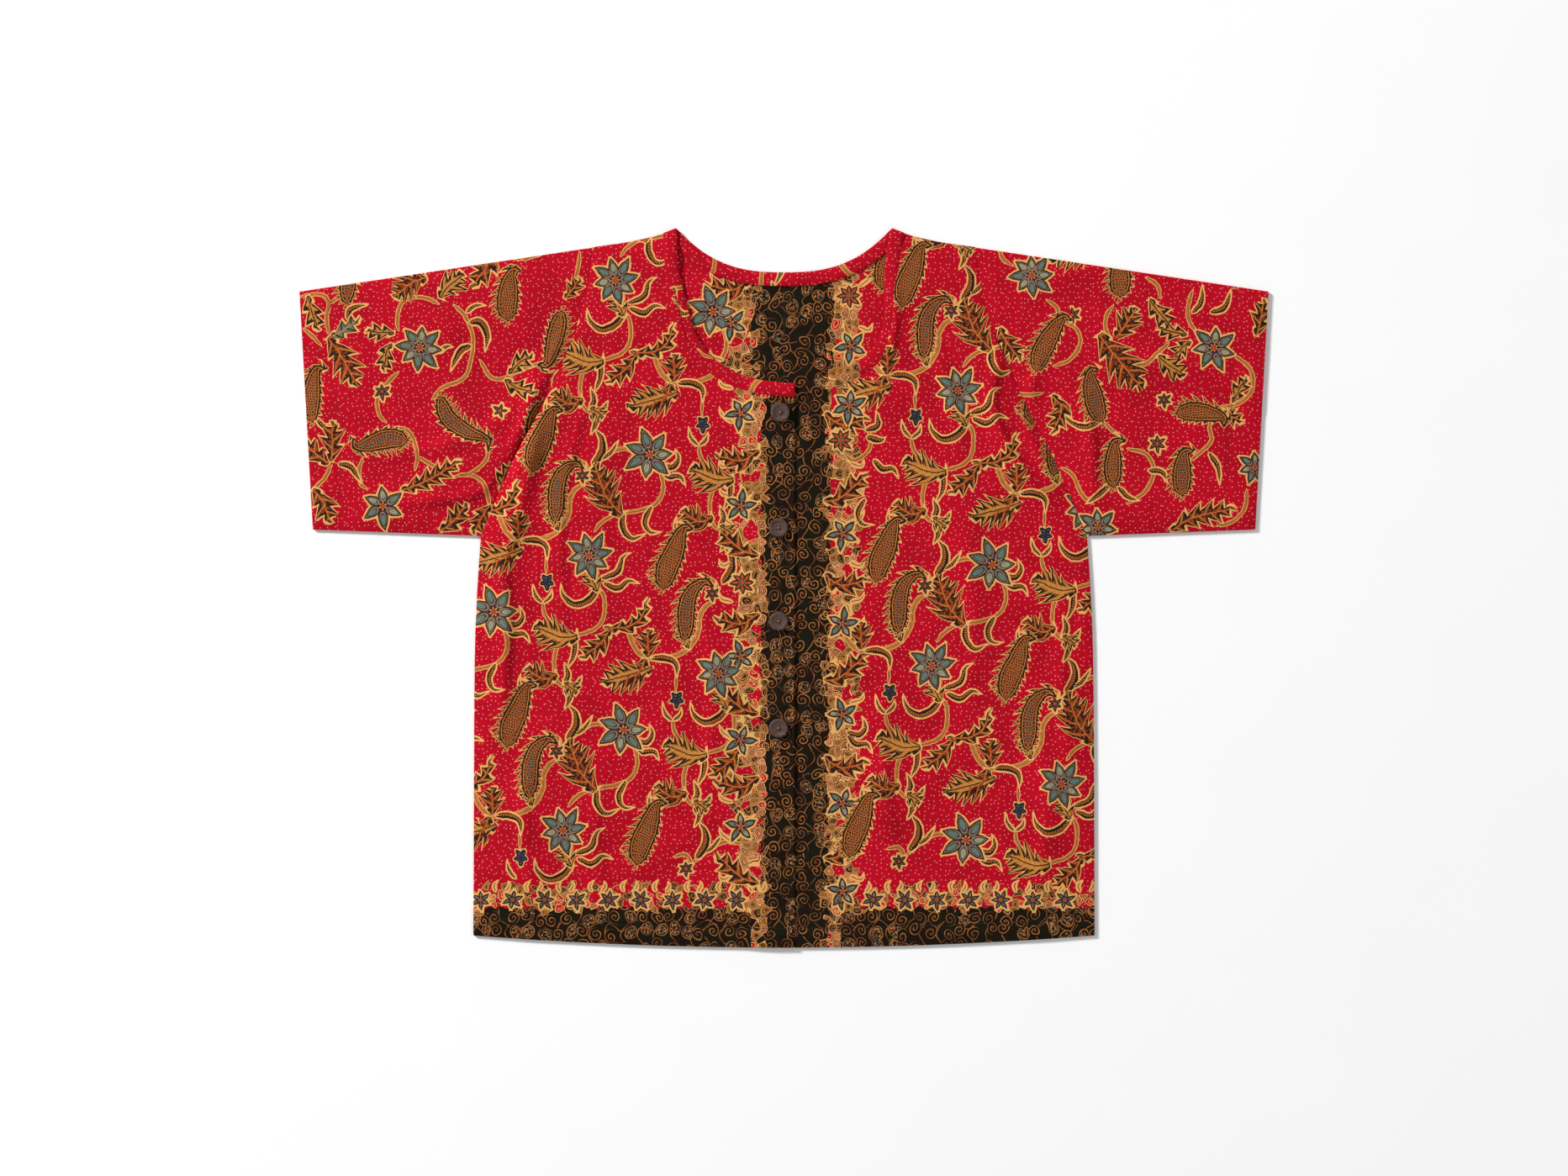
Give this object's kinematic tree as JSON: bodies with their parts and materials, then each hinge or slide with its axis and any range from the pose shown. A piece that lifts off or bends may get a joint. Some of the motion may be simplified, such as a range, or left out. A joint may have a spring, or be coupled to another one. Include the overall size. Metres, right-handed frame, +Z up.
{
  "type": "batik crop shirt",
  "caption": "Short-sleeved batik crop shirt with a bound scoop neck and a buttoned front, laid flat on its back.",
  "frame": {"origin": "middle of the shirt's outline, on the surface that it lies on", "axes": "+Z up off the surface, +Y towards the neck, +X towards the wearer's left sleeve"},
  "size_m": [0.76, 0.564, 0.0083],
  "materials": {
    "batik_cloth": "plain-weave printed cotton, crimson ground with flowers, paisleys, vines, dark borders and lace",
    "binding_cloth": "bias strip of the same red cotton, edge-stitched",
    "coconut_shell": "matte polished coconut shell"
  },
  "bodies": {
    "root": {"back_right": "batik_cloth", "back_left": "batik_cloth", "right_front": "batik_cloth", "left_front": "batik_cloth", "right_sleeve": "batik_cloth", "left_sleeve": "batik_cloth", "neck_binding_back": "binding_cloth", "neck_binding_right": "binding_cloth", "neck_binding_left": "binding_cloth", "button_1": "coconut_shell", "button_2": "coconut_shell", "button_3": "coconut_shell", "button_4": "coconut_shell"}
  },
  "joints": []
}
